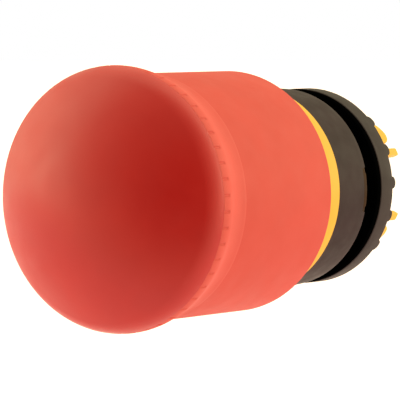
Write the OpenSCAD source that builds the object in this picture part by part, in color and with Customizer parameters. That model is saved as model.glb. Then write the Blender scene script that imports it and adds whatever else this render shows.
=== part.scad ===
// Emergency stop button: panel-mounted operator with a pull-to-release mushroom head.
// Every module is drawn along its own +Z, which points out of the panel, with z = 0 on the
// panel's front plane. on_axis() then lays that axis along -Y, so the head faces the user.

/* [Mushroom head] */
// Largest diameter of the mushroom cap
cap_d = 38; // [34:0.5:40]
// Height of the dome above its widest circle
dome_h = 9.6; // [8:0.1:11]
// Radius of the dome's rounded rim
rim_r = 4.5; // [3:0.1:5]
// Distance from the panel to the cap's widest circle
cap_z = 44.1; // [43:0.1:48]
// Wall of the dome
dome_wall = 2.0; // [1.5:0.1:2.5]

/* [Grip sleeve] */
// Outer diameter of the sleeve at its rear edge
sleeve_d = 35.5; // [35:0.1:36]
// Bore of the sleeve
sleeve_bore_d = 32.0; // [31.4:0.1:32.4]
// Number of notches round the front of the sleeve
notch_count = 52; // [12:1:60]

/* [Press] */
// Travel of the button from rest to latched
press_travel = 5.5; // [4:0.1:5.6]

/* [Bezel] */
// Diameter of the bezel where it meets the gasket
bezel_d = 29.7; // [29.4:0.1:30.4]
// Diameter of the bezel's front edge and of the yellow ring
bezel_front_d = 30.8; // [30.4:0.1:31]
// Length of the bezel in front of the gasket
bezel_l = 7.7; // [7:0.1:8.2]
// Length of the yellow ring in front of the bezel
indicator_l = 9.0; // [7:0.1:10]
// Thickness of the panel gasket
gasket_t = 1.5; // [1:0.1:2]

/* [Neck] */
// Diameter of the neck that goes through the panel
neck_d = 22.0; // [21.6:0.1:22.2]
// Length of the plain part of the neck behind the panel's front plane
pilot_l = 2.4; // [2:0.1:2.5]
// Length of the neck behind the panel's front plane
neck_l = 12.0; // [12:0.1:13]
// Pitch of the neck's thread
thread_pitch = 1.5; // [1:0.25:2]
// Depth of the neck's thread
thread_depth = 0.5; // [0.3:0.05:0.6]

/* [Ring nut] */
// Outer diameter of the ring nut
nut_d = 29.6; // [29:0.1:32]
// Distance from the panel's front plane to the nut's front face
nut_z = 3.6; // [2.6:0.1:4.5]
// Length of the nut without its teeth
nut_l = 3.2; // [3:0.1:4]
// Length of a tooth on the nut's rear face
tooth_l = 1.2; // [1:0.1:1.4]
// Width of a tooth
tooth_w = 1.7; // [1.4:0.1:2]
// Turn of the teeth from the horizontal, in degrees
tooth_turn = 3; // [0:1:20]
// Thickness of the washer in front of the nut
washer_t = 1.0; // [0.8:0.1:1.2]

/* [Plunger] */
// Diameter of the plunger's prongs
prong_d = 21.4; // [20.4:0.1:21.6]
// Distance from the panel's front plane to the ends of the prongs
prong_z = 17.1; // [16.5:0.1:20]

/* [Stem] */
// Diameter of the stem in its guide
stem_d = 10; // [9:0.1:10.4]
// Distance that a latch pawl moves outwards for each millimetre of press
latch_slope = 0.12; // [0.08:0.01:0.14]

/* [Hidden] */
$fn = 96;
// overlap that makes a cut pass clean through a face
cut = 0.5;
// play between two pieces that slide on each other
slide_gap = 0.06;

// axial places of the housing's and the sleeve's edges
bezel_z = gasket_t + bezel_l;
press_gap = 0.3;
sleeve_z = bezel_z + press_travel + press_gap;

// head
cap_r = cap_d / 2;
dome_r = ((cap_r - rim_r) ^ 2 + dome_h ^ 2 - rim_r ^ 2) / (2 * (dome_h - rim_r));
dome_z = cap_z + dome_h - dome_r;
rim_angle = asin((cap_r - rim_r) / (dome_r - rim_r));
dome_steps = 14;
rim_steps = 8;
part_angle = 11;
part_r = cap_r - rim_r + rim_r * cos(part_angle);
part_z = cap_z + rim_r * sin(part_angle);
spigot_l = 3.2;
spigot_wall = 1.6;
spigot_r_in = sleeve_bore_d / 2 - spigot_wall;

// sleeve
sleeve_r = sleeve_d / 2;
sleeve_bore_r = sleeve_bore_d / 2;
sleeve_taper = 0.05;
collar_step = 0.1;
collar_r = sleeve_r + sleeve_taper + collar_step;
collar_z = part_z - 7.2;
bead_angle = 20;
bead_steps = 6;
bead_r = cap_r - rim_r + rim_r * cos(bead_angle);
bead_z = cap_z - rim_r * sin(bead_angle);
flare_l = 4.2;
flare_steps = 6;
sleeve_edge = 0.4;
web_t = 2.5;
web_z = part_z - 9.0;
boss_r = 7.5;
boss_l = 6.0;
boss_z = web_z - boss_l;
rib_t = 1.2;
rib_count = 6;
rib_inset = 1.0;
notch_w = 0.5;
notch_l = 1.9;
notch_depth = 0.45;
notch_floor_r = part_r - notch_depth;

// housing
bezel_r = bezel_d / 2;
bezel_front_r = bezel_front_d / 2;
bezel_edge = 0.4;
bezel_draft = 0.05;
skirt_l = 0.9;
skirt_notch_w = 6.6;
neck_r = neck_d / 2;
shoulder_r = neck_r + 0.2;
gasket_r = 14.4;
skirt_in = gasket_r + 0.05;
flange_r = 13.4;
flange_t = 2.0;
flange_z = gasket_t + flange_t;
tube_r = 12.4;
tube_z = 12.0;
bore_r = 9.5;
seal_t = 0.8;
seal_r = 13.0;
spigot_in = 13.2;
spigot_out = 14.2;
spigot_depth = 2.0;
thread_flat = 0.3;
key_w = 2.2;
key_floor_r = neck_r - 0.75;
key_start = 0.9;

// latch
latch_front_z = 6.0;
latch_rear_z = -5.0;
latch_front_r = 7.4;
latch_gap = 0.05;
pawl_w = 3.0;
pawl_z = 3.0;
pawl_in = 1.9;
pawl_gap = 0.05;

// guide, seal and spring
bush_flange_t = 1.2;
bush_z = tube_z + bush_flange_t;
lip_r = 8.0;
lip_t = 1.5;
seat_t = 0.8;
seat_r_in = stem_d / 2 + 0.4;
seat_r = bore_r;
spring_z = bush_z + seat_t;
spring_cup_t = 1.0;
spring_cup_r = 8.5;
spring_r = 6.6;
spring_wire = 0.9;
spring_turns = 6;

// stem
stem_r = stem_d / 2;
stem_neck_r = 4.0;
stem_front_gap = 0.3;
stem_front_z = web_z + web_t - stem_front_gap;
stem_shoulder_z = boss_z - spring_cup_t;
stem_rear_z = -10.5;
web_front_z = -6.0;
plunger_web_t = 2.0;
clip_t = 0.8;
clip_z = web_front_z - plunger_web_t - clip_t;
clip_groove_r = 3.6;
clip_r = 6.4;
clip_mouth = 4.6;
screw_r = 2.0;
screw_l = 9.3;
screw_head_r = 4.2;
screw_head_t = 2.5;
screw_slot = 1.0;
screw_slot_l = 5.0;
screw_bore_end = 1.0;
head_washer_t = 0.8;
head_washer_r = 6.0;
head_washer_in = 2.2;

// plunger
plunger_r = bore_r - 0.2;
plunger_wall = 1.3;
prong_r = prong_d / 2;
prong_gap = 0.1;
prong_ring_z = neck_l + prong_gap;
prong_ring_t = 1.0;
prong_wall = 1.0;
prong_in = prong_r - prong_wall;
lobe_step = 0.2;
lobe_z = prong_z - lobe_step;
narrow_prong_angle = 28;
narrow_prong_w = 1.2;
wide_prong_angle = 49;
wide_prong_w = 4.6;

// nut
nut_r = nut_d / 2;
nut_bore_r = neck_r + 0.12;
nut_rear_z = -nut_z - nut_l;
washer_r = nut_r - 0.1;
washer_tab_w = key_w - 0.2;
washer_tab_r = key_floor_r + 0.15;
tooth_depth = 2.0;
tooth_r = nut_r - 0.1;
tooth_steps = 10;
tooth_pitch = 20;
tooth_groups = 3;
teeth_per_group = 5;
nut_chamfer = 0.3;

// ---- helpers ----

module on_axis() {
    rotate([90, 0, 0]) children();
}

// Ring between two heights on the axis
module ring(r_out, r_in, z_low, z_high) {
    translate([0, 0, z_low]) difference() {
        cylinder(r = r_out, h = z_high - z_low);
        translate([0, 0, -cut]) cylinder(r = r_in, h = z_high - z_low + 2 * cut);
    }
}

// Sector of a ring that is cut square to a given width
module ring_block(angle, width, r_out, r_in, z_low, z_high) {
    intersection() {
        ring(r_out, r_in, z_low, z_high);
        rotate([0, 0, angle]) translate([0, -width / 2, z_low - cut])
            cube([r_out + cut, width, z_high - z_low + 2 * cut]);
    }
}

// Radius of the latch ring's tapered bore at a height
function latch_r(z) = latch_front_r + latch_slope * (latch_front_z - z);

// Height of a coil's wire after a given number of turns: one closed turn at each end
function coil_z(turn, turns, length, wire) =
    let (pitch = (length - 3 * wire) / (turns - 2))
    turn < 1 ? wire / 2 + turn * wire
    : turn > turns - 1 ? length - wire / 2 - (turns - turn) * wire
    : 1.5 * wire + (turn - 1) * pitch;

// Coil spring standing on z = 0
module coil(mean_r, wire, length, turns, steps, sides) {
    last = turns * steps;
    points = [
        for (i = [0 : last], j = [0 : sides - 1])
            let (turn = i / steps, a = 360 * turn, b = 360 * j / sides)
            let (r = mean_r + wire / 2 * cos(b))
            [r * cos(a), r * sin(a), coil_z(turn, turns, length, wire) + wire / 2 * sin(b)]
    ];
    sides_of_tube = [
        for (i = [0 : last - 1], j = [0 : sides - 1])
            let (k = (j + 1) % sides)
            [i * sides + j, (i + 1) * sides + j, (i + 1) * sides + k, i * sides + k]
    ];
    start = [for (j = [0 : sides - 1]) j];
    end = [for (j = [sides - 1 : -1 : 0]) last * sides + j];
    polyhedron(points, concat(sides_of_tube, [start, end]), convexity = turns);
}

// ---- button ----

module mushroom_cap() {
    rim = [
        for (i = [0 : rim_steps])
            let (a = part_angle + (90 - rim_angle - part_angle) * i / rim_steps)
            [cap_r - rim_r + rim_r * cos(a), cap_z + rim_r * sin(a)]
    ];
    dome = [
        for (i = [1 : dome_steps])
            let (a = rim_angle * (1 - i / dome_steps))
            [dome_r * sin(a), dome_z + dome_r * cos(a)]
    ];
    in_r = dome_r - dome_wall;
    in_angle = asin(spigot_r_in / in_r);
    hollow = [
        for (i = [0 : dome_steps])
            let (a = in_angle * i / dome_steps)
            [in_r * sin(a), dome_z + in_r * cos(a)]
    ];
    foot = [
        [spigot_r_in, part_z - spigot_l],
        [sleeve_bore_r, part_z - spigot_l],
        [sleeve_bore_r, part_z]
    ];
    color([0.78, 0.14, 0.13]) on_axis() rotate_extrude()
        polygon(concat(foot, rim, dome, hollow));
}

module sleeve_shell() {
    flare = [
        for (i = [0 : flare_steps - 1])
            let (t = i / flare_steps)
            [collar_r + (bead_r - collar_r) * t * t, bead_z - flare_l * (1 - t)]
    ];
    bead = [
        for (i = [0 : bead_steps])
            let (a = -bead_angle + (bead_angle + part_angle) * i / bead_steps)
            [cap_r - rim_r + rim_r * cos(a), cap_z + rim_r * sin(a)]
    ];
    outline = concat(
        [
            [sleeve_bore_r, sleeve_z],
            [sleeve_r - sleeve_edge, sleeve_z],
            [sleeve_r, sleeve_z + sleeve_edge],
            [collar_r - collar_step, collar_z],
            [collar_r, collar_z + collar_step]
        ],
        flare,
        bead,
        [[sleeve_bore_r, part_z]]
    );
    rotate_extrude() polygon(outline);
}

module grip_sleeve() {
    color([0.90, 0.27, 0.22]) on_axis() difference() {
        union() {
            sleeve_shell();
            translate([0, 0, web_z]) cylinder(r = sleeve_bore_r + cut, h = web_t);
            translate([0, 0, boss_z]) cylinder(r = boss_r, h = web_z + cut - boss_z);
            for (i = [0 : rib_count - 1]) rotate([0, 0, i * 360 / rib_count])
                translate([stem_neck_r + rib_inset, -rib_t / 2, boss_z + rib_inset])
                    cube([sleeve_bore_r + cut - stem_neck_r - rib_inset, rib_t, boss_l + cut - rib_inset]);
        }
        translate([0, 0, boss_z - cut]) cylinder(r = stem_neck_r, h = web_z + web_t - boss_z + 2 * cut);
        for (i = [0 : notch_count - 1]) rotate([0, 0, (i + 0.5) * 360 / notch_count])
            translate([notch_floor_r, -notch_w / 2, part_z - notch_l])
                cube([cap_r - notch_floor_r, notch_w, notch_l + cut]);
    }
}

module head_washer() {
    z = web_z + web_t;
    color([0.75, 0.76, 0.78]) on_axis() ring(head_washer_r, head_washer_in, z, z + head_washer_t);
}

module head_screw() {
    z = web_z + web_t + head_washer_t;
    color([0.70, 0.71, 0.73]) on_axis() difference() {
        union() {
            translate([0, 0, z]) cylinder(r = screw_head_r, h = screw_head_t);
            translate([0, 0, z - screw_l]) cylinder(r = screw_r, h = screw_l + cut);
        }
        for (a = [0, 90]) rotate([0, 0, a])
            translate([-screw_slot_l / 2, -screw_slot / 2, z + screw_head_t / 2])
                cube([screw_slot_l, screw_slot, screw_head_t]);
    }
}

module stem() {
    screw_bore_z = web_z + web_t + head_washer_t - screw_l - screw_bore_end;
    slot_h = pawl_w + 2 * pawl_gap;
    color([0.86, 0.85, 0.80]) on_axis() difference() {
        union() {
            translate([0, 0, web_front_z]) cylinder(r = stem_r, h = stem_shoulder_z - web_front_z);
            translate([0, 0, stem_rear_z]) cylinder(r = stem_neck_r, h = stem_front_z - stem_rear_z);
        }
        translate([0, 0, screw_bore_z]) cylinder(r = screw_r, h = stem_front_z - screw_bore_z + cut);
        translate([-stem_r - cut, -slot_h / 2, pawl_z - slot_h / 2])
            cube([2 * (stem_r + cut), slot_h, slot_h]);
        ring(stem_neck_r + cut, clip_groove_r, clip_z, clip_z + clip_t);
    }
}

module spring_cup() {
    color([0.72, 0.73, 0.75]) on_axis()
        ring(spring_cup_r, stem_neck_r, stem_shoulder_z, stem_shoulder_z + spring_cup_t);
}

module plunger() {
    web_rear_z = web_front_z - plunger_web_t;
    color([0.98, 0.76, 0.20]) on_axis() union() {
        ring(plunger_r, stem_neck_r, web_rear_z, web_front_z);
        ring(plunger_r, plunger_r - plunger_wall, -prong_ring_z - cut, web_rear_z + cut);
        ring(prong_r, plunger_r - plunger_wall, -prong_ring_z - prong_ring_t, -prong_ring_z);
        for (side = [0, 180], sign = [-1, 1]) {
            ring_block(side + sign * narrow_prong_angle, narrow_prong_w,
                prong_r, prong_in, -prong_z, -prong_ring_z - cut);
            ring_block(side + sign * wide_prong_angle, wide_prong_w,
                prong_r, prong_in, -lobe_z, -prong_ring_z - cut);
        }
    }
}

module plunger_clip() {
    color([0.62, 0.63, 0.65]) on_axis() difference() {
        ring(clip_r, clip_groove_r, clip_z, clip_z + clip_t);
        translate([-clip_mouth / 2, -clip_r - cut, clip_z - cut])
            cube([clip_mouth, clip_r + cut, clip_t + 2 * cut]);
    }
}

// ---- latch ----

module pawl() {
    tip = latch_r(latch_rear_z) - latch_gap;
    intersection() {
        translate([pawl_in, -pawl_w / 2, pawl_z - pawl_w / 2]) cube([tip, pawl_w, pawl_w]);
        translate([0, 0, latch_rear_z]) cylinder(
            r1 = latch_r(latch_rear_z) - latch_gap,
            r2 = latch_r(latch_front_z) - latch_gap,
            h = latch_front_z - latch_rear_z
        );
    }
}

module pawl_right() {
    color([0.55, 0.56, 0.58]) on_axis() pawl();
}

module pawl_left() {
    color([0.55, 0.56, 0.58]) on_axis() rotate([0, 0, 180]) pawl();
}

module pawl_spring() {
    color([0.70, 0.70, 0.72]) on_axis() translate([-pawl_in, 0, pawl_z]) rotate([0, 90, 0])
        coil(mean_r = 1.0, wire = 0.3, length = 2 * pawl_in, turns = 6, steps = 16, sides = 6);
}

module latch_ring() {
    color([0.80, 0.80, 0.78]) on_axis() difference() {
        translate([0, 0, latch_rear_z]) cylinder(r = bore_r, h = latch_front_z - latch_rear_z);
        translate([0, 0, latch_rear_z - cut]) cylinder(
            r1 = latch_r(latch_rear_z - cut),
            r2 = latch_r(latch_front_z + cut),
            h = latch_front_z - latch_rear_z + 2 * cut
        );
    }
}

// ---- housing ----

module bezel() {
    outline = [
        [flange_r, gasket_t],
        [skirt_in, gasket_t],
        [skirt_in, gasket_t - skirt_l],
        [bezel_r, gasket_t - skirt_l],
        [bezel_front_r - bezel_draft, bezel_z - bezel_edge],
        [bezel_front_r - bezel_edge / 2, bezel_z],
        [spigot_out, bezel_z],
        [spigot_out, bezel_z - spigot_depth],
        [spigot_in, bezel_z - spigot_depth],
        [spigot_in, bezel_z],
        [tube_r, bezel_z],
        [tube_r, flange_z + seal_t],
        [seal_r, flange_z + seal_t],
        [seal_r, flange_z],
        [flange_r, flange_z]
    ];
    color([0.20, 0.17, 0.15]) on_axis() difference() {
        rotate_extrude() polygon(outline);
        ring_block(0, skirt_notch_w, bezel_r + cut, gasket_r, gasket_t - skirt_l - cut, gasket_t);
    }
}

module indicator_ring() {
    front_z = bezel_z + indicator_l;
    outline = [
        [spigot_in, bezel_z - spigot_depth],
        [spigot_out, bezel_z - spigot_depth],
        [spigot_out, bezel_z],
        [bezel_front_r - bezel_edge / 2, bezel_z],
        [bezel_front_r, bezel_z + bezel_edge / 2],
        [bezel_front_r, front_z - bezel_edge],
        [bezel_front_r - bezel_edge, front_z],
        [spigot_in, front_z]
    ];
    color([0.98, 0.78, 0.25]) on_axis() rotate_extrude() polygon(outline);
}

module panel_gasket() {
    color([0.16, 0.12, 0.10]) on_axis() ring(gasket_r, shoulder_r, 0, gasket_t);
}

module thread_groove(z) {
    translate([0, 0, z]) rotate_extrude() polygon([
        [neck_r - thread_depth, -thread_flat / 2],
        [neck_r - thread_depth, thread_flat / 2],
        [neck_r + thread_depth, thread_flat / 2 + 2 * thread_depth * tan(30)],
        [neck_r + thread_depth, -thread_flat / 2 - 2 * thread_depth * tan(30)]
    ]);
}

module housing_barrel() {
    groove_count = floor((neck_l - pilot_l) / thread_pitch);
    color([0.10, 0.10, 0.10]) on_axis() difference() {
        union() {
            translate([0, 0, -neck_l]) cylinder(r = neck_r, h = neck_l + cut);
            cylinder(r = shoulder_r, h = gasket_t);
            translate([0, 0, gasket_t]) cylinder(r = flange_r, h = flange_t);
            translate([0, 0, flange_z]) cylinder(r = tube_r, h = tube_z - flange_z);
        }
        translate([0, 0, -neck_l - cut]) cylinder(r = bore_r, h = neck_l + tube_z + 2 * cut);
        for (i = [1 : groove_count]) thread_groove(-pilot_l - (i - 0.5) * thread_pitch);
        translate([-key_w / 2, -neck_r - cut, -neck_l - cut])
            cube([key_w, neck_r + cut - key_floor_r, neck_l + cut - key_start]);
    }
}

module body_seal() {
    color([0.08, 0.08, 0.08]) on_axis() ring(seal_r, tube_r, flange_z, flange_z + seal_t);
}

module guide_bush() {
    color([0.90, 0.90, 0.86]) on_axis() difference() {
        union() {
            translate([0, 0, latch_front_z]) cylinder(r = bore_r, h = bush_z - latch_front_z);
            translate([0, 0, tube_z]) cylinder(r = tube_r, h = bush_flange_t);
        }
        translate([0, 0, latch_front_z - cut])
            cylinder(r = stem_r + slide_gap, h = bush_z - latch_front_z + 2 * cut);
        translate([0, 0, bush_z - lip_t]) cylinder(r = lip_r, h = lip_t + cut);
    }
}

module shaft_seal() {
    color([0.09, 0.09, 0.10]) on_axis() ring(lip_r, stem_r + slide_gap / 2, bush_z - lip_t, bush_z);
}

module seal_washer() {
    color([0.74, 0.75, 0.77]) on_axis() ring(seat_r, seat_r_in, bush_z, bush_z + seat_t);
}

module return_spring() {
    color([0.68, 0.69, 0.71]) on_axis() translate([0, 0, spring_z]) coil(
        mean_r = spring_r,
        wire = spring_wire,
        length = stem_shoulder_z - spring_z,
        turns = spring_turns,
        steps = 24,
        sides = 8
    );
}

// ---- clamp ----

module clamp_washer() {
    front_z = -nut_z + washer_t;
    color([0.07, 0.07, 0.07]) on_axis() union() {
        ring(washer_r, nut_bore_r, -nut_z, front_z);
        translate([-washer_tab_w / 2, -nut_bore_r - cut, -nut_z])
            cube([washer_tab_w, nut_bore_r + cut - washer_tab_r, washer_t]);
    }
}

// Half-round tooth that stands on the nut's rear face
module nut_tooth(angle) {
    half = tooth_w / 2;
    round_z = nut_rear_z - tooth_l + half;
    outline = concat(
        [[-half, nut_rear_z + cut]],
        [
            for (i = [0 : tooth_steps])
                let (a = 180 + 180 * i / tooth_steps)
                [half * cos(a), round_z + half * sin(a)]
        ],
        [[half, nut_rear_z + cut]]
    );
    rotate([0, 0, angle]) intersection() {
        ring(tooth_r, tooth_r - tooth_depth, nut_rear_z - tooth_l - cut, nut_rear_z + cut);
        rotate([90, 0, 90]) linear_extrude(nut_r + cut) polygon(outline);
    }
}

module ring_nut() {
    middle = (teeth_per_group - 1) / 2;
    outline = [
        [nut_bore_r, nut_rear_z],
        [nut_r, nut_rear_z],
        [nut_r, -nut_z - nut_chamfer],
        [nut_r - nut_chamfer, -nut_z],
        [nut_bore_r, -nut_z]
    ];
    color([0.30, 0.26, 0.23]) on_axis() union() {
        rotate_extrude() polygon(outline);
        for (group = [0 : tooth_groups - 1], i = [0 : teeth_per_group - 1])
            nut_tooth(tooth_turn + group * 360 / tooth_groups + (i - middle) * tooth_pitch);
    }
}

mushroom_cap();
grip_sleeve();
head_screw();
head_washer();
stem();
spring_cup();
plunger();
plunger_clip();
pawl_spring();
pawl_right();
pawl_left();
bezel();
indicator_ring();
panel_gasket();
housing_barrel();
body_seal();
latch_ring();
guide_bush();
shaft_seal();
seal_washer();
return_spring();
clamp_washer();
ring_nut();
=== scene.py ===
"""Emergency stop button: the looks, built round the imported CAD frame.

Every piece made here, apart from the coil spring, is a surface of revolution about the button's
axis, which runs along -Y. A profile point is (radius, height): height is measured along the axis,
out of the panel, in millimetres, as in the CAD. lathe() turns a profile into a mesh in metres, and
a shape function may push its points about to cut notches, teeth, prongs or a thread. A place round
the axis is given in turns, from +X towards +Z.
"""
import math

import bmesh
import bpy
from mathutils import Matrix, Vector


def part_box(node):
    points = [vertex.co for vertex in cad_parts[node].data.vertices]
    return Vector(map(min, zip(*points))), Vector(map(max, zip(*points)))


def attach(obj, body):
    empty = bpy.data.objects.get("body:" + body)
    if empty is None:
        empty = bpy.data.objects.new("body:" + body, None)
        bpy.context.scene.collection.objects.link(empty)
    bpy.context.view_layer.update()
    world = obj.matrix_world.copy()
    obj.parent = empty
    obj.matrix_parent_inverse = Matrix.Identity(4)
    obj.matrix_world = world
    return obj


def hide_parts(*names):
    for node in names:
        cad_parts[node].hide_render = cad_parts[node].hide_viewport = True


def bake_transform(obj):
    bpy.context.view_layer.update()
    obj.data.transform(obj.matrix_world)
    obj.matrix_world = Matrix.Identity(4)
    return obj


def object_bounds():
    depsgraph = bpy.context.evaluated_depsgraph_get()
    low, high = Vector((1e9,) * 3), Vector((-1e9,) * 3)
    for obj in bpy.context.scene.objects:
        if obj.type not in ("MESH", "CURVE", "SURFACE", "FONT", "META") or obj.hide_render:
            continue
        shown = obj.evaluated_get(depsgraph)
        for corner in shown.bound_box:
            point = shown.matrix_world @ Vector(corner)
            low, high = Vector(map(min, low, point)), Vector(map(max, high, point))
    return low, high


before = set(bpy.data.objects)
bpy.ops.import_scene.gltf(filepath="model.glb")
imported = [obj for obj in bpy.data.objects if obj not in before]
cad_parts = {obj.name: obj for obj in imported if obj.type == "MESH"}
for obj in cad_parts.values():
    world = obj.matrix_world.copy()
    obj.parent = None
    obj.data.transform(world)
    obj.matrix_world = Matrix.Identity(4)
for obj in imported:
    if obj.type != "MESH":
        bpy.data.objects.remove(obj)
CAD_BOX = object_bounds()

MM = 0.001
TURN = 2 * math.pi
# how close, in millimetres, a profile point counts as being on a face
ON_FACE = 0.01


# ---- sizes, read from the frame ----

def span(node):
    """Lowest and highest point of a node along the axis, and its outer radius, in millimetres."""
    low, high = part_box(node)
    return -high.y / MM, -low.y / MM, high.x / MM


CAP_LOW, CAP_TOP, _ = span("mushroom_cap")
SLEEVE_LOW, SLEEVE_TOP, SLEEVE_R = span("grip_sleeve")
BEZEL_LOW, BEZEL_TOP, BEZEL_R = span("bezel")
RING_LOW, RING_TOP, RING_R = span("indicator_ring")
GASKET_LOW, GASKET_TOP, GASKET_R = span("panel_gasket")
WASHER_LOW, WASHER_TOP, WASHER_R = span("clamp_washer")
NUT_LOW, NUT_TOP, NUT_R = span("ring_nut")
BARREL_LOW, BARREL_TOP, _ = span("housing_barrel")
PLUNGER_LOW, PLUNGER_TOP, PLUNGER_R = span("plunger")


# ---- mesh work ----

def arc(centre, radius, start, end, steps):
    """Points on an arc of a profile, angles in degrees from +radius towards +height."""
    return [
        (centre[0] + radius * math.cos(math.radians(start + (end - start) * i / steps)),
         centre[1] + radius * math.sin(math.radians(start + (end - start) * i / steps)))
        for i in range(steps + 1)
    ]


def soften(corners, steps=5):
    """A closed profile from (radius, height, fillet) corners, each fillet drawn as an arc."""
    points = []
    count = len(corners)
    for i, (r, z, fillet) in enumerate(corners):
        here = Vector((r, z))
        before = Vector(corners[i - 1][:2]) - here
        after = Vector(corners[(i + 1) % count][:2]) - here
        angle = before.angle(after)
        if fillet <= 0 or angle > math.radians(178):
            points.append((r, z))
            continue
        reach = min(fillet / math.tan(angle / 2), before.length * 0.49, after.length * 0.49)
        radius = reach * math.tan(angle / 2)
        middle = (before.normalized() + after.normalized()).normalized()
        centre = here + middle * (radius / math.sin(angle / 2))
        first = here + before.normalized() * reach - centre
        last = here + after.normalized() * reach - centre
        sweep = first.angle_signed(last)
        for k in range(steps + 1):
            turned = first.copy()
            turned.rotate(Matrix.Rotation(-sweep * k / steps, 2))
            points.append(tuple(centre + turned))
    return points


def add_piece(name, mesh):
    """An object in the scene from finished mesh work."""
    data = bpy.data.meshes.new(name)
    mesh.to_mesh(data)
    mesh.free()
    piece = bpy.data.objects.new(name, data)
    bpy.context.scene.collection.objects.link(piece)
    return piece


def lathe(name, profile, around=192, shape=None, crease=32.0):
    """A closed profile turned round the axis. shape(turn, r, z) returns where a point goes."""
    mesh = bmesh.new()
    rings = []
    for r, z in profile:
        if r < 1e-6:
            rings.append([mesh.verts.new((0, -z * MM, 0))] * around)
            continue
        ring = []
        for k in range(around):
            turn = k / around
            rr, zz = shape(turn, r, z) if shape else (r, z)
            ring.append(mesh.verts.new(
                (rr * MM * math.cos(TURN * turn), -zz * MM, rr * MM * math.sin(TURN * turn))))
        rings.append(ring)
    for i, ring in enumerate(rings):
        other = rings[(i + 1) % len(rings)]
        for k in range(around):
            corners = [ring[k], other[k], other[(k + 1) % around], ring[(k + 1) % around]]
            unique = list(dict.fromkeys(corners))
            if len(unique) > 2:
                mesh.faces.new(unique)
    bmesh.ops.recalc_face_normals(mesh, faces=mesh.faces)
    limit = math.radians(crease)
    for face in mesh.faces:
        face.smooth = True
    for edge in mesh.edges:
        edge.smooth = edge.calc_face_angle(0.0) < limit
    return add_piece(name, mesh)


def dress(piece, material, body, slot, *replaced):
    """Gives a piece its material and its body, and hides the CAD nodes it stands for; the slot is not
    used.
    """
    piece.data.materials.append(material)
    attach(piece, body)
    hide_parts(*replaced)


def step(x, low, high):
    """0 below low, 1 above high, and a smooth step between."""
    t = min(1.0, max(0.0, (x - low) / (high - low)))
    return t * t * (3 - 2 * t)


def distance_round(turn, place, radius):
    """How far this turn is from a place round the axis, along the circle, either way."""
    return abs(((turn - place + 0.5) % 1 - 0.5) * TURN * radius)


# ---- materials ----

TONE_STOPS = (0.35, 0.65)
NOISE_MIDDLE = (0.3, 0.7)
GLOSS_SCALE = 0.4
WAVE_SCALE = 1.5


def links(holder):
    """The nodes of a material or world, and the call that links two sockets."""
    tree = holder.node_tree
    return tree.nodes, tree.links.new


def map_range(holder, value, source, target):
    """A value mapped evenly from one (low, high) range to another."""
    nodes, link = links(holder)
    node = nodes.new("ShaderNodeMapRange")
    for socket, number in zip(("From Min", "From Max", "To Min", "To Max"), (*source, *target)):
        node.inputs[socket].default_value = number
    link(value, node.inputs["Value"])
    return node.outputs["Result"]


def noise(material, scale, detail, roughness=0.5):
    """Noise over the object's own coordinates; scale is in features per metre."""
    nodes, link = links(material)
    place = nodes.get("Place") or nodes.new("ShaderNodeTexCoord")
    place.name = "Place"
    texture = nodes.new("ShaderNodeTexNoise")
    texture.inputs["Scale"].default_value = scale
    texture.inputs["Detail"].default_value = detail
    texture.inputs["Roughness"].default_value = roughness
    link(place.outputs["Object"], texture.inputs["Vector"])
    return texture.outputs["Fac"]


def two_tone(material, value, dark, light):
    """A colour that goes from dark to light over the middle of a noise value."""
    nodes, link = links(material)
    ramp = nodes.new("ShaderNodeValToRGB")
    for stop, place, colour in zip(ramp.color_ramp.elements, TONE_STOPS, (dark, light)):
        stop.position = place
        stop.color = (*colour, 1)
    link(value, ramp.inputs["Fac"])
    return ramp.outputs["Color"]


def bump(material, scale, detail, roughness, depth_mm):
    """A bump node fed with noise; depth_mm is its full height."""
    nodes, link = links(material)
    node = nodes.new("ShaderNodeBump")
    node.inputs["Strength"].default_value = 1.0
    node.inputs["Distance"].default_value = depth_mm * MM
    link(noise(material, scale, detail, roughness), node.inputs["Height"])
    return node


def moulded(name, light, dark, rough, rough_spread, grain_mm, grain_depth, mottle_mm=6.0,
            specular=0.5, metallic=0.0, wave_depth=0.0):
    """A moulded surface: two close tones, uneven gloss, fine grain and a slow moulding wave."""
    material = bpy.data.materials.new(name)
    material.use_nodes = True
    nodes, link = links(material)
    shader = nodes["Principled BSDF"]
    shader.inputs["Specular IOR Level"].default_value = specular
    shader.inputs["Metallic"].default_value = metallic
    tone = noise(material, 1 / (mottle_mm * MM), 3.0)
    link(two_tone(material, tone, dark, light), shader.inputs["Base Color"])
    gloss = noise(material, 1 / (mottle_mm * GLOSS_SCALE * MM), 4.0)
    link(map_range(material, gloss, NOISE_MIDDLE, (rough - rough_spread, rough + rough_spread)),
         shader.inputs["Roughness"])
    grain = bump(material, 1 / (grain_mm * MM), 2.0, 0.6, grain_depth)
    if wave_depth > 0:
        wave = bump(material, 1 / (mottle_mm * WAVE_SCALE * MM), 1.0, 0.5, wave_depth)
        link(wave.outputs["Normal"], grain.inputs["Normal"])
    link(grain.outputs["Normal"], shader.inputs["Normal"])
    return material


def paint_shade_behind(material, height, shade_tint, soft_mm):
    """Paints shade behind a line across the axis: a darker, redder tint over the surface there, so the
    band in front reads lighter.
    """
    nodes, link = links(material)
    shader = nodes["Principled BSDF"]
    plain = shader.inputs["Base Color"].links[0].from_socket
    along = nodes.new("ShaderNodeSeparateXYZ")
    link(nodes["Place"].outputs["Object"], along.inputs["Vector"])
    line = (-height * MM, (soft_mm - height) * MM)
    behind = map_range(material, along.outputs["Y"], line, (0.0, 1.0))
    mix = nodes.new("ShaderNodeMix")
    mix.data_type = "RGBA"
    mix.blend_type = "MULTIPLY"
    mix.inputs["B"].default_value = (*shade_tint, 1)
    link(behind, mix.inputs["Factor"])
    link(plain, mix.inputs["A"])
    link(mix.outputs["Result"], shader.inputs["Base Color"])


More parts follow.
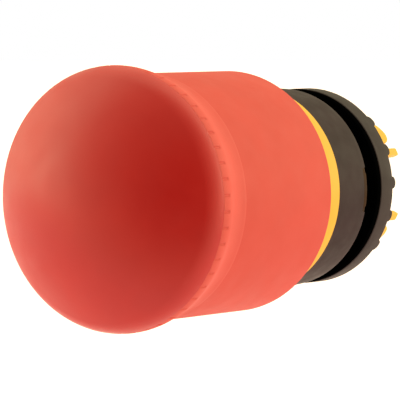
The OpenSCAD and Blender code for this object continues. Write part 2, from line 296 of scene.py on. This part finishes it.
CAP_RED = moulded("cap_red", (0.54, 0.011, 0.010), (0.51, 0.009, 0.009), 0.38, 0.05, 0.30, 0.004,
                  mottle_mm=9.0, specular=0.39, wave_depth=0.02)
SLEEVE_RED = moulded("sleeve_red", (0.62, 0.082, 0.070), (0.59, 0.076, 0.064), 0.60, 0.05, 0.18,
                     0.006, mottle_mm=8.0, specular=0.14)
COLLAR_Z = SLEEVE_TOP - 7.2
# painted shade: the skirt behind the collar line is tinted darker and redder than the flare in front
paint_shade_behind(SLEEVE_RED, COLLAR_Z, (0.97, 0.88, 0.86), 0.15)
YELLOW = moulded("signal_yellow", (0.80, 0.41, 0.026), (0.76, 0.385, 0.023), 0.50, 0.05, 0.25, 0.004,
                 specular=0.3)
BEZEL_BLACK = moulded("bezel_black", (0.033, 0.016, 0.019), (0.027, 0.013, 0.015), 0.50, 0.06,
                      0.15, 0.006, specular=0.08)
NUT_GREY = moulded("nut_grey", (0.046, 0.032, 0.034), (0.039, 0.027, 0.029), 0.55, 0.06, 0.20,
                   0.008, specular=0.10)
BARREL_BLACK = moulded("barrel_black", (0.004, 0.004, 0.004), (0.003, 0.003, 0.003), 0.60, 0.06,
                       0.20, 0.006, specular=0.12)
# black plastic plus painted shade: the washer is far blacker than its plastic and has no specular, so
# it stands for the shadow in the gap behind the bezel
WASHER_BLACK_AND_SHADE = moulded("washer_black_painted_shade", (0.0008, 0.0008, 0.0008), (0.0005, 0.0005, 0.0005), 0.70,
                       0.06, 0.20, 0.006, specular=0.0)
GASKET_BROWN = moulded("gasket_brown", (0.045, 0.017, 0.004), (0.034, 0.012, 0.003), 0.70, 0.08,
                       0.25, 0.010, specular=0.15)
SEAL_BLACK = moulded("seal_black", (0.012, 0.012, 0.012), (0.008, 0.008, 0.008), 0.70, 0.08,
                     0.25, 0.010)
ACETAL = moulded("acetal", (0.62, 0.60, 0.53), (0.56, 0.54, 0.47), 0.35, 0.05, 0.30, 0.004)
STEEL = moulded("plated_steel", (0.56, 0.57, 0.58), (0.46, 0.47, 0.48), 0.32, 0.08, 0.12, 0.004,
                metallic=1.0)
SPRING_STEEL = moulded("spring_steel", (0.45, 0.46, 0.47), (0.34, 0.35, 0.36), 0.28, 0.08, 0.10,
                       0.003, metallic=1.0)
SINTERED = moulded("sintered_steel", (0.30, 0.30, 0.31), (0.20, 0.20, 0.21), 0.48, 0.08, 0.08,
                   0.010, metallic=1.0)


# ---- button ----

RIM_R = 4.5
DOME_H = 9.6
WIDEST_Z = CAP_TOP - DOME_H
RIM_CENTRE = (SLEEVE_R - RIM_R, WIDEST_Z)
PART_ANGLE = 11.0
PART_R = RIM_CENTRE[0] + RIM_R * math.cos(math.radians(PART_ANGLE))
PART_Z = SLEEVE_TOP
SPIGOT_R = 16.0
SPIGOT_IN = 14.4
DOME_WALL = 2.0
NOTCHES = 52


def dome_cap():
    """The glossy dome: a ball cap that runs into a rounded rim, hollow, with a spigot behind."""
    inner = RIM_CENTRE[0]
    ball = (inner ** 2 + (CAP_TOP - WIDEST_Z) ** 2 - RIM_R ** 2) / (2 * (CAP_TOP - WIDEST_Z - RIM_R))
    middle = CAP_TOP - ball
    rim_angle = math.degrees(math.asin(inner / (ball - RIM_R)))
    in_ball = ball - DOME_WALL
    in_angle = math.degrees(math.asin(SPIGOT_IN / in_ball))
    seam, seam_angle = 0.02, 0.4
    outline = [(PART_R - seam, PART_Z)]
    outline += arc(RIM_CENTRE, RIM_R, PART_ANGLE + seam_angle, 90 - rim_angle, 20)
    outline += arc((0, middle), ball, 90 - rim_angle, 90, 40)[1:]
    outline += arc((0, middle), in_ball, 90, 90 - in_angle, 20)
    outline += [(SPIGOT_IN, CAP_LOW), (SPIGOT_R, CAP_LOW), (SPIGOT_R, PART_Z)]
    piece = lathe("dome_cap", outline, around=256)
    dress(piece, CAP_RED, "button", "red_gloss", "mushroom_cap")


def sleeve_shell():
    """The long sleeve: a plain skirt, a faint collar, a flare and a notched bead at the front."""
    skirt_r, collar_r = 17.75, 17.9
    bead_angle, flare_l, edge = 20.0, 4.2, 0.5
    bead = arc(RIM_CENTRE, RIM_R, -bead_angle, PART_ANGLE, 16)
    bead_r, bead_z = bead[0]
    flare_steps = 14
    flare = [(collar_r + (bead_r - collar_r) * t * t, bead_z - flare_l * (1 - t))
             for t in (i / flare_steps for i in range(flare_steps))]
    web_z, web_t, boss_l, boss_r, bore = PART_Z - 9.0, 2.5, 6.0, 7.5, 4.0
    outline = [(SPIGOT_R, SLEEVE_LOW + 0.3), (SPIGOT_R + 0.3, SLEEVE_LOW)]
    outline += arc((skirt_r - edge, SLEEVE_LOW + edge), edge, -90, 0, 6)
    outline += [(skirt_r, COLLAR_Z - 0.5), (skirt_r - 0.03, COLLAR_Z)]
    outline += [(collar_r - 0.04, COLLAR_Z + 0.06), (collar_r, COLLAR_Z + 0.25)]
    outline += flare + bead
    outline += [(SPIGOT_R, PART_Z), (SPIGOT_R, web_z + web_t), (bore, web_z + web_t),
                (bore, web_z - boss_l), (boss_r, web_z - boss_l), (boss_r, web_z),
                (SPIGOT_R, web_z)]
    notch_start, notch_end, notch_depth = PART_Z - 1.55, PART_Z - 1.2, 0.15
    notch_floor, notch_half = 0.10, 0.26

    def notched(turn, r, z):
        if r < bead_r or z < notch_start:
            return r, z
        across = abs((turn * NOTCHES) % 1 - 0.5) * TURN * r / NOTCHES
        cut = step(z, notch_start, notch_end) * (1 - step(across, notch_floor, notch_half))
        return r - notch_depth * cut, z

    piece = lathe("sleeve_shell", outline, around=NOTCHES * 20, shape=notched)
    dress(piece, SLEEVE_RED, "button", "red_satin", "grip_sleeve")


def plunger_body():
    """The yellow plunger: a web on the stem, a tube, a collar and eight rounded prongs."""
    tube_r, tube_in, web_in = 9.3, 8.0, 4.0
    web_top, web_low = PLUNGER_TOP, PLUNGER_TOP - 2.0
    collar_top, collar_low = BARREL_LOW - 0.1, BARREL_LOW - 1.1
    prong_in = PLUNGER_R - 1.0
    # angle from the side, width, end, and corner radii on the inner and the outer edge
    prongs = [(28.0, 1.2, PLUNGER_LOW, 0.3, 0.3), (49.0, 4.6, PLUNGER_LOW + 0.2, 2.2, 1.5)]

    def reach(turn):
        """How far back the collar's rim goes at this place round the axis."""
        angle = turn * 360
        low = collar_low
        for side in (0.0, 180.0):
            for sign in (-1.0, 1.0):
                for at, width, end, inner, outer in prongs:
                    off = (angle - side - sign * at + 180) % 360 - 180
                    corner = inner if off * sign < 0 else outer
                    across = abs(math.radians(off)) * PLUNGER_R
                    if across <= width / 2:
                        over = min(1.0, max(0.0, across - width / 2 + corner) / corner)
                        low = min(low, end + corner * (1 - math.sqrt(1 - over ** 2)))
        return low

    def castellated(turn, r, z):
        if z > collar_low - ON_FACE or r < prong_in - ON_FACE:
            return r, z
        share = (collar_low - z) / (collar_low - PLUNGER_LOW)
        return r, collar_low + (reach(turn) - collar_low) * share

    outline = soften([
        (web_in, web_top, 0.0), (tube_r, web_top, 0.3), (tube_r, collar_top, 0.15),
        (PLUNGER_R, collar_top, 0.3), (PLUNGER_R, collar_low, 0.0), (PLUNGER_R, PLUNGER_LOW, 0.25),
        (prong_in, PLUNGER_LOW, 0.25), (prong_in, collar_low, 0.0), (tube_in, collar_low, 0.2),
        (tube_in, web_low, 0.3), (web_in, web_low, 0.0),
    ])
    piece = lathe("plunger_body", outline, around=1080, shape=castellated, crease=40)
    dress(piece, YELLOW, "button", "yellow_plastic", "plunger")


def coil_spring():
    """The return spring, closed at both ends."""
    mean_r, wire_r, turns, around, sides = 6.6, 0.45, 6, 64, 14
    low, high, _ = span("return_spring")
    wire = 2 * wire_r
    pitch = (high - low - 3 * wire) / (turns - 2)

    def height(turn):
        """Height of the wire's middle: one closed turn at each end, even pitch between."""
        if turn < 1:
            return low + wire_r + turn * wire
        if turn > turns - 1:
            return high - wire_r - (turns - turn) * wire
        return low + wire_r + wire + (turn - 1) * pitch

    mesh = bmesh.new()
    loops = []
    for i in range(turns * around + 1):
        turn = i / around
        loop = []
        for k in range(sides):
            lean = TURN * k / sides
            r = (mean_r + wire_r * math.cos(lean)) * MM
            z = height(turn) + wire_r * math.sin(lean)
            loop.append(mesh.verts.new(
                (r * math.cos(TURN * turn), -z * MM, r * math.sin(TURN * turn))))
        loops.append(loop)
    for loop, other in zip(loops, loops[1:]):
        for k in range(sides):
            mesh.faces.new([loop[k], other[k], other[(k + 1) % sides], loop[(k + 1) % sides]])
    for loop in (loops[0], loops[-1]):
        mesh.faces.new(loop)
    bmesh.ops.recalc_face_normals(mesh, faces=mesh.faces)
    for face in mesh.faces:
        face.smooth = len(face.verts) == 4
    piece = add_piece("coil_spring", mesh)
    piece.data.materials.append(SPRING_STEEL)
    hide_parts("return_spring")
    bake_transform(piece)


# ---- housing ----

TUBE_R = 12.4
FLANGE_R = 13.4
FLANGE_TOP = GASKET_TOP + 2.0
SEAT_IN = 13.2
SEAT_OUT = 14.2
SEAT_DEPTH = 2.0
NOTCH_PLACE = 0.0
NOTCH_HALF = 3.3
KEY_PLACE = 0.75


def yellow_ring():
    """The ring that shows while the button isn't pressed, with its spigot in the bezel."""
    seam = 0.05
    outline = soften([
        (SEAT_IN, RING_LOW, 0.0), (SEAT_OUT, RING_LOW, 0.1), (SEAT_OUT, BEZEL_TOP, 0.0),
        (RING_R - seam, BEZEL_TOP, 0.0), (RING_R, BEZEL_TOP + seam, 0.0), (RING_R, RING_TOP, 0.5),
        (SEAT_IN, RING_TOP, 0.3),
    ])
    piece = lathe("yellow_ring", outline, around=256)
    dress(piece, YELLOW, "housing", "yellow_plastic", "indicator_ring")


def bezel_shell():
    """The warm black bezel, with a thin skirt round the gasket that is notched on the +X side."""
    rear_r, skirt_in, seal_r, seal_top = 14.85, GASKET_R + 0.05, 13.0, GASKET_TOP + 2.8
    chamfer = 0.1
    lip_z, notch_top, seat_z = BEZEL_TOP - chamfer, GASKET_TOP + ON_FACE, BEZEL_TOP - SEAT_DEPTH
    notch_top_r = rear_r + (BEZEL_R - rear_r) * (notch_top - BEZEL_LOW) / (lip_z - BEZEL_LOW)
    outline = soften([
        (FLANGE_R, GASKET_TOP, 0.0), (skirt_in, GASKET_TOP, 0.0), (skirt_in, BEZEL_LOW, 0.06),
        (rear_r, BEZEL_LOW, 0.15), (notch_top_r, notch_top, 0.0), (BEZEL_R, lip_z, 0.05),
        (BEZEL_R - chamfer, BEZEL_TOP, 0.0), (SEAT_OUT, BEZEL_TOP, 0.0), (SEAT_OUT, seat_z, 0.0),
        (SEAT_IN, seat_z, 0.0), (SEAT_IN, BEZEL_TOP, 0.0), (TUBE_R, BEZEL_TOP, 0.0),
        (TUBE_R, seal_top, 0.0), (seal_r, seal_top, 0.0), (seal_r, FLANGE_TOP, 0.0),
        (FLANGE_R, FLANGE_TOP, 0.0),
    ])
    notch_edge, notch_share = 0.05, 0.99

    def notched(turn, r, z):
        if r < skirt_in - ON_FACE or z > GASKET_TOP:
            return r, z
        across = distance_round(turn, NOTCH_PLACE, rear_r)
        inside = 1 - step(across, NOTCH_HALF - notch_edge, NOTCH_HALF + notch_edge)
        return r, z + (GASKET_TOP - z) * notch_share * inside

    piece = lathe("bezel_shell", outline, around=1440, shape=notched)
    dress(piece, BEZEL_BLACK, "housing", "bezel_plastic", "bezel")


def gasket_ring():
    """The rubber ring between the bezel and the panel, grooved behind, its tongue in the notch."""
    inner, tongue_root, tongue_r, tongue_half, tongue_end = 11.2, 14.0, 14.8, NOTCH_HALF - 0.1, 1.0
    groove_in, floor_in, floor_out, groove_out = 12.4, 12.7, 13.5, 13.8
    groove_z = GASKET_LOW + 0.25
    outline = soften([
        (inner, GASKET_LOW, 0.1), (groove_in, GASKET_LOW, 0.1), (floor_in, groove_z, 0.1),
        (floor_out, groove_z, 0.1), (groove_out, GASKET_LOW, 0.1), (GASKET_R, GASKET_LOW, 0.2),
        (GASKET_R, BEZEL_LOW - 2 * ON_FACE, 0.0), (GASKET_R, BEZEL_LOW, 0.0),
        (GASKET_R, GASKET_TOP, 0.1), (inner, GASKET_TOP, 0.1),
    ])

    def tongued(turn, r, z):
        if z < BEZEL_LOW - ON_FACE:
            return r, z
        across = distance_round(turn, NOTCH_PLACE, GASKET_R)
        share = 1 - step(across, tongue_half - tongue_end, tongue_half)
        return r + (tongue_r - GASKET_R) * share * step(r, tongue_root, GASKET_R), z

    piece = lathe("gasket_ring", outline, around=720, shape=tongued)
    dress(piece, GASKET_BROWN, "housing", "gasket_rubber", "panel_gasket")


def barrel_body():
    """The barrel and its threaded neck, with the keyway that holds the washer from turning."""
    bore, neck_r, shoulder_r, pitch, depth, thread_top, blank = 9.5, 11.0, 11.2, 1.5, 0.5, -2.4, 0.6
    key_half, key_side, key_floor, key_top, key_edge = 1.1, 0.1, 10.25, -0.9, 0.03
    groove_crest, groove_root, run_in, run_out, row = 0.12, 0.34, 0.6, 0.5, 0.125
    rows = [(neck_r, thread_top - i * row) for i in range(int((thread_top - BARREL_LOW) / row))]
    outline = soften([
        (bore, BARREL_LOW, 0.15), (bore, BARREL_TOP, 0.2), (TUBE_R, BARREL_TOP, 0.1),
        (TUBE_R, FLANGE_TOP, 0.0), (FLANGE_R, FLANGE_TOP, 0.0), (FLANGE_R, GASKET_TOP, 0.0),
        (shoulder_r, GASKET_TOP, 0.0), (shoulder_r, 0.0, 0.0), (neck_r, 0.0, 0.0),
        (neck_r, key_top, 0.0), (neck_r, key_top - key_edge, 0.0), (neck_r, thread_top + blank, 0.0),
    ]) + rows + [(neck_r - 0.15, BARREL_LOW + 0.05), (neck_r - 0.4, BARREL_LOW)]

    def threaded(turn, r, z):
        if r < neck_r - depth or z > key_top:
            return r, z
        phase = (z / pitch - turn) % 1
        groove = step(0.5 - abs(phase - 0.5), groove_crest, groove_root)
        fade = step(thread_top - z, 0.0, run_in) * step(z - BARREL_LOW, 0.0, run_out)
        cut = r - depth * groove * fade
        across = distance_round(turn, KEY_PLACE, neck_r)
        key = 1 - step(across, key_half - key_side, key_half + key_side)
        key *= 1 - step(z, key_top - key_edge, key_top)
        return min(cut, r - (neck_r - key_floor) * key), z

    piece = lathe("barrel_body", outline, around=360, shape=threaded, crease=40)
    dress(piece, BARREL_BLACK, "housing", "black_plastic", "housing_barrel")


# ---- clamp ----

THREAD_BORE = 11.12


def thrust_washer():
    """The washer in front of the nut, with the tab that rides in the neck's keyway."""
    bore, tab_half, tab_in, tab_out, tab_r = THREAD_BORE, 1.0, 0.08, 0.02, 10.4
    outline = soften([
        (bore, WASHER_LOW, 0.05), (WASHER_R, WASHER_LOW, 0.05), (WASHER_R, WASHER_TOP, 0.08),
        (bore, WASHER_TOP, 0.1),
    ])

    def keyed(turn, r, z):
        if r > bore + 0.2:
            return r, z
        across = distance_round(turn, KEY_PLACE, bore)
        return r - (bore - tab_r) * (1 - step(across, tab_half - tab_in, tab_half + tab_out)), z

    piece = lathe("thrust_washer", outline, around=720, shape=keyed)
    dress(piece, WASHER_BLACK_AND_SHADE, "clamp", "black_plastic", "clamp_washer")


def nut_ring():
    """The ring nut: three groups of five half-round teeth stand on its rear rim."""
    bore, tooth_l, tooth_w, tooth_turn = THREAD_BORE, 1.2, 1.7, 3.0
    tooth_in, tooth_middle, tooth_out = NUT_R - 2.0, NUT_R - 1.0, NUT_R - 0.1
    group, pitch, each_side = 120, 20, 2
    rear = NUT_LOW + tooth_l

    def tooth(turn):
        """Height of a tooth above the rear face at this place round the axis."""
        angle = (turn * 360 - tooth_turn + group / 2) % group - group / 2
        nearest = max(-each_side, min(each_side, round(angle / pitch))) * pitch
        across = abs(math.radians(angle - nearest)) * tooth_middle
        half = tooth_w / 2
        if across >= half:
            return 0.0
        return tooth_l - half + math.sqrt(half ** 2 - across ** 2)

    def toothed(turn, r, z):
        if z > rear - ON_FACE:
            return r, z
        return r, rear - (rear - z) / tooth_l * tooth(turn)

    outline = soften([
        (bore, rear, 0.0), (tooth_in, rear, 0.0), (tooth_in, NUT_LOW, 0.15), (tooth_out, NUT_LOW, 0.3),
        (tooth_out, rear, 0.0), (NUT_R, rear, 0.12), (NUT_R, NUT_TOP, 0.15), (bore, NUT_TOP, 0.2),
    ])
    piece = lathe("nut_ring", outline, around=1080, shape=toothed, crease=40)
    dress(piece, NUT_GREY, "nut", "nut_plastic", "ring_nut")


# ---- inner CAD nodes that show as they are ----

def dress_inner_nodes():
    """Gives the CAD nodes that stay as they are their materials."""
    looks = {
        "stem": ACETAL, "latch_ring": ACETAL, "guide_bush": ACETAL,
        "head_screw": STEEL, "head_washer": STEEL, "spring_cup": STEEL, "seal_washer": STEEL,
        "pawl_spring": SPRING_STEEL, "plunger_clip": SPRING_STEEL,
        "pawl_right": SINTERED, "pawl_left": SINTERED,
        "body_seal": SEAL_BLACK, "shaft_seal": SEAL_BLACK,
    }
    for node, material in looks.items():
        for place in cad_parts[node].material_slots:
            place.material = material


# ---- stage, light and camera ----

VIEW_AZIMUTH = math.radians(34.15)
VIEW_ELEVATION = math.radians(3.05)
VIEW_DISTANCE = 543.5 * MM
VIEW_TARGET = Vector((-9.96, -8.39, -1.92)) * MM
VIEW_LENS = 324.0
SENSOR = 36.0


def towards_camera():
    """The direction from the object to the camera at its main view."""
    a, e = VIEW_AZIMUTH, VIEW_ELEVATION
    return Vector((math.sin(a) * math.cos(e), -math.cos(a) * math.cos(e), math.sin(e)))


def camera():
    """The camera, a long lens a little above and to the right of the button's face."""
    data = bpy.data.cameras.new("camera")
    data.sensor_width = SENSOR
    data.lens = VIEW_LENS
    data.clip_start, data.clip_end = 0.05, 20.0
    eye = bpy.data.objects.new("camera", data)
    back = towards_camera()
    eye.location = VIEW_TARGET + back * VIEW_DISTANCE
    eye.rotation_euler = (-back).to_track_quat("-Z", "Y").to_euler()
    bpy.context.scene.collection.objects.link(eye)
    bpy.context.scene.camera = eye


FLOOR_HALF = 6.0
FLOOR_FRONT = 90 * MM
FLOOR_DROP = 50 * MM
FLOOR_COLOUR = (0.84, 0.66, 0.66)
FLOOR_GLOW = 0.45


def floor():
    """A wide pale floor under and behind the object, which its mount holds up."""
    half, front = FLOOR_HALF, FLOOR_FRONT
    near = Vector((math.sin(VIEW_AZIMUTH), -math.cos(VIEW_AZIMUTH), 0))
    side = Vector((near.y, -near.x, 0))
    base = Vector((0, 0, CAD_BOX[0].z - FLOOR_DROP))
    corners = [base + near * front + side * half, base + near * front - side * half,
               base - near * half - side * half, base - near * half + side * half]
    data = bpy.data.meshes.new("floor")
    data.from_pydata(corners, [], [(0, 1, 2, 3)])
    ground = bpy.data.objects.new("floor", data)
    bpy.context.scene.collection.objects.link(ground)
    material = bpy.data.materials.new("floor_white")
    material.use_nodes = True
    shader = material.node_tree.nodes["Principled BSDF"]
    shader.inputs["Base Color"].default_value = (*FLOOR_COLOUR, 1)
    shader.inputs["Emission Color"].default_value = (1, 1, 1, 1)
    shader.inputs["Emission Strength"].default_value = FLOOR_GLOW
    shader.inputs["Roughness"].default_value = 0.9
    shader.inputs["Specular IOR Level"].default_value = 0.0
    data.materials.append(material)


TENT_COLOUR = (1.0, 0.96, 0.63)
TENT_BRIGHT = 5.0
TENT_TOP = 2.2
TENT_RIGHT = 1.2
# shares of that brightness, from behind the object round to the opening on the camera's side;
# the curtain's place is where it hangs on the way from behind, 0, to the opening, 1
SHARE_BEHIND = 0.1
SHARE_BESIDE = 1.0
SHARE_CURTAIN = 0.37
SHARE_OPENING = 0.0
CURTAIN_PLACE = 0.62


def light_tent():
    """A soft white tent all round, with a dark opening where the photographer would stand."""
    world = bpy.data.worlds.new("tent")
    world.use_nodes = True
    bpy.context.scene.world = world
    nodes, link = links(world)
    nodes.clear()
    place = nodes.new("ShaderNodeTexCoord")
    aim = nodes.new("ShaderNodeVectorMath")
    aim.operation = "DOT_PRODUCT"
    aim.inputs[1].default_value = towards_camera()
    link(place.outputs["Generated"], aim.inputs[0])
    shade = nodes.new("ShaderNodeValToRGB")
    stops = shade.color_ramp.elements
    stops.new(0.5)
    stops.new(CURTAIN_PLACE)
    for stop, share in zip(stops, (SHARE_BEHIND, SHARE_BESIDE, SHARE_CURTAIN, SHARE_OPENING)):
        stop.color = (*(share * c for c in TENT_COLOUR), 1)
    link(map_range(world, aim.outputs["Value"], (-1.0, 1.0), (0.0, 1.0)), shade.inputs["Fac"])
    cloth = nodes.new("ShaderNodeBackground")
    link(shade.outputs["Color"], cloth.inputs["Color"])
    way = nodes.new("ShaderNodeSeparateXYZ")
    link(place.outputs["Generated"], way.inputs["Vector"])
    strength = nodes.new("ShaderNodeMath")
    strength.operation = "MULTIPLY"
    ceiling = map_range(world, way.outputs["Z"], (0.0, 1.0), (TENT_BRIGHT, TENT_TOP))
    beside = map_range(world, way.outputs["X"], (0.0, 1.0), (1.0, TENT_RIGHT))
    link(ceiling, strength.inputs[0])
    link(beside, strength.inputs[1])
    link(strength.outputs["Value"], cloth.inputs["Strength"])
    backdrop = nodes.new("ShaderNodeBackground")
    backdrop.inputs["Color"].default_value = (1, 1, 1, 1)
    seen = nodes.new("ShaderNodeLightPath")
    mix = nodes.new("ShaderNodeMixShader")
    link(seen.outputs["Is Camera Ray"], mix.inputs["Fac"])
    link(cloth.outputs["Background"], mix.inputs[1])
    link(backdrop.outputs["Background"], mix.inputs[2])
    out = nodes.new("ShaderNodeOutputWorld")
    link(mix.outputs["Shader"], out.inputs["Surface"])


camera()
dome_cap()
sleeve_shell()
plunger_body()
coil_spring()
yellow_ring()
bezel_shell()
gasket_ring()
barrel_body()
thrust_washer()
nut_ring()
dress_inner_nodes()
floor()
light_tent()
bpy.context.scene.view_settings.view_transform = "Standard"
